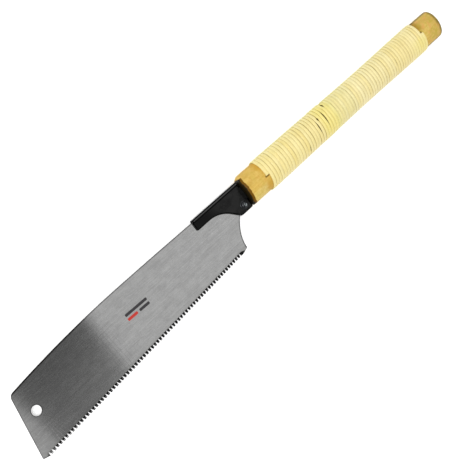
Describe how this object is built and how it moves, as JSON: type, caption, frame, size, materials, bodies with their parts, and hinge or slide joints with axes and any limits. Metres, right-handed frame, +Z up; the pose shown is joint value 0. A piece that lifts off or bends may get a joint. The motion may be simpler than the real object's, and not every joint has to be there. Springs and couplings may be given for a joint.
{
  "type": "pull saw",
  "caption": "Single-edge pull saw: a thin toothed steel blade in a black clamp holder on a long oval wooden handle wrapped in rattan strip.",
  "frame": {"origin": "centre of the underside of the whole saw's box, as it lies on its side", "axes": "+X along the handle from the blade's toe to the butt, +Y towards the blade's spine, +Z up, out of the blade's upper side"},
  "size_m": [0.6208, 0.0742, 0.0239],
  "materials": {
    "blade_steel": "fine brushed, satin",
    "holder_black": "black enamel, satin gloss",
    "tang_steel": "plain mill finish",
    "screw_steel": "dark oxide, worn bright on the flat of the screw head",
    "handle_wood": "smooth, unvarnished honey wood",
    "rattan": "glossy outer skin of split rattan"
  },
  "bodies": {
    "handle_assembly": {"holder_plate_upper": "holder_black", "holder_plate_lower": "holder_black", "spine_channel": "holder_black", "tang_core": "tang_steel", "tang_rivet_front": "tang_steel", "tang_rivet_rear": "tang_steel", "handle_pin_front": "tang_steel", "handle_pin_rear": "tang_steel", "washer_upper": "screw_steel", "washer_lower": "screw_steel", "clamp_nut": "screw_steel", "handle_half_upper": "handle_wood", "handle_half_lower": "handle_wood", "rattan_wrap_front": "rattan", "rattan_lap": "rattan", "rattan_wrap_rear": "rattan"},
    "blade": {"saw_blade": "blade_steel"},
    "screw": {"clamp_screw": "screw_steel"}
  },
  "joints": [
    {"name": "blade_swing", "type": "hinge", "parent": "handle_assembly", "child": "blade", "pos_m": [-0.0158, 0.01068, 0.01194], "axis": [0, 0, 1], "range_deg": [0, 20]},
    {"name": "screw_turn", "type": "hinge", "parent": "handle_assembly", "child": "screw", "pos_m": [-0.0158, 0.01068, 0.01194], "axis": [0, 0, 1], "range_deg": [0, 360]}
  ]
}
